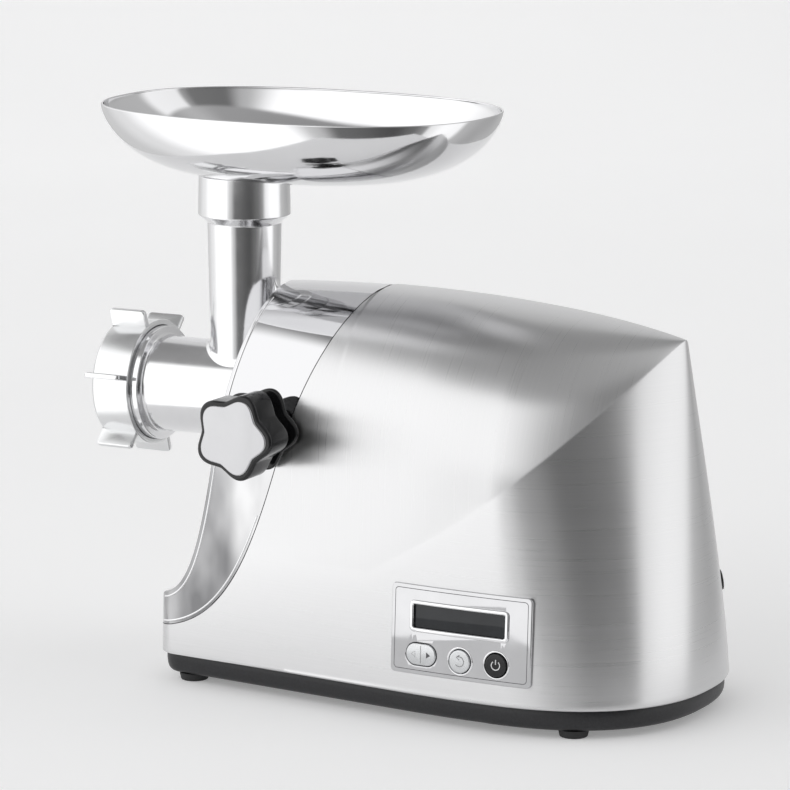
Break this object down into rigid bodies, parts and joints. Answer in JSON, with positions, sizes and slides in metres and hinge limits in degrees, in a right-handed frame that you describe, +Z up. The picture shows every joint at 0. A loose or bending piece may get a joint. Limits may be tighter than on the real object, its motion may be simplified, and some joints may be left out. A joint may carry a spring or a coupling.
{
  "type": "electric meat grinder",
  "caption": "Countertop electric meat grinder with a steel motor housing, a clamped cast head with feed screw, knife and plate, and a deep oval hopper tray.",
  "frame": {"origin": "middle of the footprint of the whole object, on the table", "axes": "+X along the feed screw towards the rear, +Y away from the control panel, +Z up"},
  "size_m": [0.4388, 0.231, 0.3793],
  "materials": {
    "brushed_steel": "brushed stainless sheet",
    "chrome": "polished chrome plate",
    "cast_aluminium": "polished cast aluminium",
    "satin_aluminium": "satin cast aluminium",
    "tray_metal": "polished sheet",
    "black_plastic": "satin black moulded plastic",
    "gloss_black": "gloss black moulded plastic",
    "rubber": "matte",
    "screw_steel": "zinc plated",
    "display_glass": "tinted window",
    "lcd": "reflective display cell",
    "board": "printed circuit laminate",
    "silver_button": "silver coated plastic",
    "gear_steel": "machined steel",
    "gear_nylon": "nylon",
    "brass": "sintered bronze",
    "lamination": "stacked laminations",
    "copper": "enamelled copper wire",
    "blade_steel": "ground steel"
  },
  "bodies": {
    "root": {"housing_shell": "brushed_steel", "front_cover": "chrome", "base_pan": "black_plastic", "rubber_feet": "rubber", "foot_screws": "screw_steel", "base_screws": "screw_steel", "control_bezel": "chrome", "display_window": "display_glass", "display_module": "lcd", "control_board": "board", "head_socket": "satin_aluminium", "socket_screws": "screw_steel", "knob_collar": "gloss_black", "gearbox_case": "satin_aluminium", "gearbox_cover": "satin_aluminium", "gearbox_screws": "screw_steel", "gear_axles": "gear_steel", "gear_bushes": "brass", "motor_stator": "lamination", "field_coils": "copper", "motor_end_plates": "satin_aluminium", "motor_bolts": "screw_steel", "motor_bearings": "gear_steel", "brush_holders": "black_plastic", "motor_cradle": "rubber", "power_board": "board", "cord_inlet": "black_plastic", "reset_bezel": "black_plastic"},
    "rotor": {"rotor_core": "lamination", "rotor_shaft": "gear_steel", "commutator": "copper", "cooling_fan": "black_plastic"},
    "first_gear_set": {"first_gear": "gear_nylon"},
    "second_gear_set": {"second_gear": "gear_steel"},
    "output": {"output_gear": "gear_steel", "drive_shaft": "gear_steel"},
    "head": {"grinder_head": "cast_aluminium", "head_bush": "brass"},
    "auger": {"feed_screw": "cast_aluminium", "cross_knife": "blade_steel"},
    "plate": {"grinding_plate": "blade_steel"},
    "nut": {"ring_nut": "satin_aluminium"},
    "tray": {"hopper_tray": "tray_metal", "tray_neck": "tray_metal"},
    "clamp": {"clamp_pad": "brass"},
    "knob": {"clamp_screw": "screw_steel", "knob_body": "gloss_black", "knob_cap": "satin_aluminium"},
    "power": {"power_button": "gloss_black"},
    "reverse": {"reverse_button": "silver_button"},
    "rocker": {"speed_rocker": "silver_button"},
    "reset": {"reset_button": "gloss_black"}
  },
  "joints": [
    {"name": "motor_turn", "type": "hinge", "parent": "root", "child": "rotor", "pos_m": [0.06495, 0.01195, 0.10269], "axis": [1, 0, 0], "continuous": true},
    {"name": "first_gear_turn", "type": "hinge", "parent": "root", "child": "first_gear_set", "pos_m": [0.00395, 0.03195, 0.12464], "axis": [1, 0, 0], "continuous": true},
    {"name": "second_gear_turn", "type": "hinge", "parent": "root", "child": "second_gear_set", "pos_m": [-0.01305, 0.01195, 0.1466], "axis": [1, 0, 0], "continuous": true},
    {"name": "output_turn", "type": "hinge", "parent": "root", "child": "output", "pos_m": [-0.01905, 0.01195, 0.185], "axis": [1, 0, 0], "continuous": true},
    {"name": "head_slide", "type": "slide", "parent": "root", "child": "head", "axis": [-1, 0, 0], "range_m": [0, 0.06]},
    {"name": "auger_turn", "type": "hinge", "parent": "head", "child": "auger", "pos_m": [-0.12305, 0.01195, 0.185], "axis": [1, 0, 0], "continuous": true},
    {"name": "plate_slide", "type": "slide", "parent": "head", "child": "plate", "axis": [-1, 0, 0], "range_m": [0, 0.00905]},
    {"name": "nut_turn", "type": "hinge", "parent": "plate", "child": "nut", "pos_m": [-0.20305, 0.01195, 0.185], "axis": [-1, 0, 0], "range_deg": [0, 1080]},
    {"name": "tray_lift", "type": "slide", "parent": "head", "child": "tray", "axis": [0, 0, 1], "range_m": [0, 0.04]},
    {"name": "clamp_slide", "type": "slide", "parent": "root", "child": "clamp", "axis": [0, -1, 0], "range_m": [0, 0.00605]},
    {"name": "knob_turn", "type": "hinge", "parent": "clamp", "child": "knob", "pos_m": [-0.06155, -0.08805, 0.1805], "axis": [0, -1, 0], "range_deg": [0, 1440]},
    {"name": "power_press", "type": "slide", "parent": "root", "child": "power", "axis": [0.0314, 0.9982, -0.0506], "range_m": [0, 0.0012], "stiffness_N_per_m": 500},
    {"name": "reverse_press", "type": "slide", "parent": "root", "child": "reverse", "axis": [0.0314, 0.9982, -0.0506], "range_m": [0, 0.0012], "stiffness_N_per_m": 500},
    {"name": "rocker_tilt", "type": "hinge", "parent": "root", "child": "rocker", "pos_m": [0.062, -0.08698, 0.04622], "axis": [0.0016, 0.0506, 0.9987], "range_deg": [-3, 3], "stiffness_Nm_per_rad": 0.08},
    {"name": "reset_press", "type": "slide", "parent": "root", "child": "reset", "axis": [-0.8171, -0.5599, -0.1371], "range_m": [0, 0.0015], "stiffness_N_per_m": 600}
  ],
  "couplings": [
    {"joint": "first_gear_turn", "follows": "motor_turn", "ratio": -0.22222},
    {"joint": "second_gear_turn", "follows": "motor_turn", "ratio": 0.063492},
    {"joint": "output_turn", "follows": "motor_turn", "ratio": -0.021164},
    {"joint": "auger_turn", "follows": "motor_turn", "ratio": -0.021164},
    {"joint": "plate_slide", "follows": "nut_turn", "m_per_rad": 0.00047746},
    {"joint": "clamp_slide", "follows": "knob_turn", "m_per_rad": 0.00023873}
  ]
}
